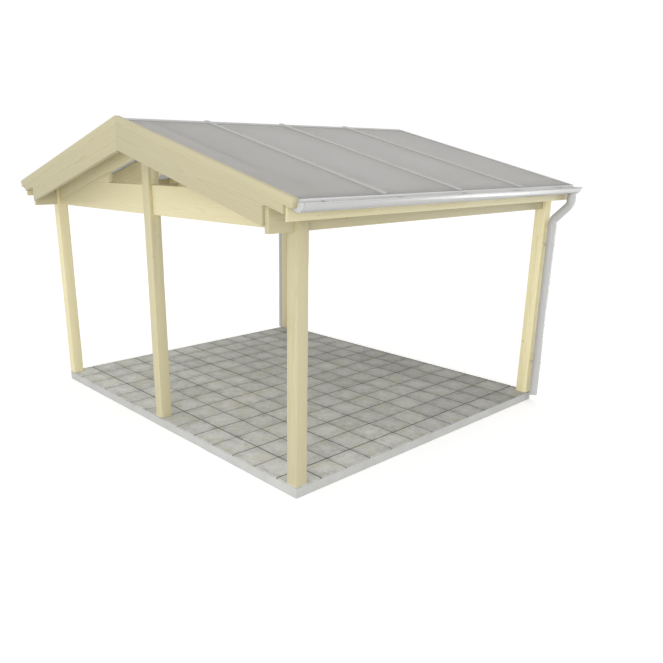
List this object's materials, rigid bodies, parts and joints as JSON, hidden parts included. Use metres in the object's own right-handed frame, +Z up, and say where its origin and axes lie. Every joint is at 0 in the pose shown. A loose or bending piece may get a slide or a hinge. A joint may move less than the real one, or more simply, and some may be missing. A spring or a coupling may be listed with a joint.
{
  "type": "sunroom frame",
  "caption": "Open timber sunroom frame with a low gabled roof of clear plastic sheets, tie beams, half-round gutters and downpipes, standing on a tiled slab.",
  "frame": {"origin": "centre of the object's box at the underside of the slab", "axes": "+X across the gable to the right as seen from the open gable, +Y along the ridge towards the house wall, +Z up"},
  "size_m": [4.822, 3.872, 2.9944],
  "materials": {
    "slab": "matt cast concrete",
    "tiles": "matt concrete tiles",
    "timber": "planed spruce",
    "roof_sheet": "hollow clear sheet",
    "profile": "satin",
    "gutter_metal": "light grey semi-gloss"
  },
  "bodies": {
    "root": {"floor_slab": "slab", "floor_tiles": "tiles", "post_front_left": "timber", "post_front_middle": "timber", "post_front_right": "timber", "post_back_left": "timber", "post_back_right": "timber", "wall_plate_left": "timber", "wall_plate_right": "timber", "tie_beam_front": "timber", "tie_beam_back": "timber", "king_post_front": "timber", "king_post_back": "timber", "ridge_board": "timber", "front_rafter_left": "timber", "front_rafter_right": "timber", "gable_rafter_left": "timber", "gable_rafter_right": "timber", "inner_rafters_left": "timber", "inner_rafters_right": "timber", "back_rafter_left": "timber", "back_rafter_right": "timber", "gable_packers": "timber", "gable_trim_left": "timber", "gable_trim_right": "timber", "fascia_left": "timber", "fascia_right": "timber", "roof_sheets_left": "roof_sheet", "roof_sheets_right": "roof_sheet", "cover_profiles_left": "profile", "cover_profiles_right": "profile", "ridge_strips": "profile", "gutter_left_1": "gutter_metal", "gutter_left_2": "gutter_metal", "gutter_left_3": "gutter_metal", "gutter_left_4": "gutter_metal", "gutter_right_1": "gutter_metal", "gutter_right_2": "gutter_metal", "gutter_right_3": "gutter_metal", "gutter_right_4": "gutter_metal", "gutter_hangers": "gutter_metal", "swan_necks": "gutter_metal", "downpipe_left": "gutter_metal", "downpipe_right": "gutter_metal", "pipe_clips": "gutter_metal"}
  },
  "joints": []
}
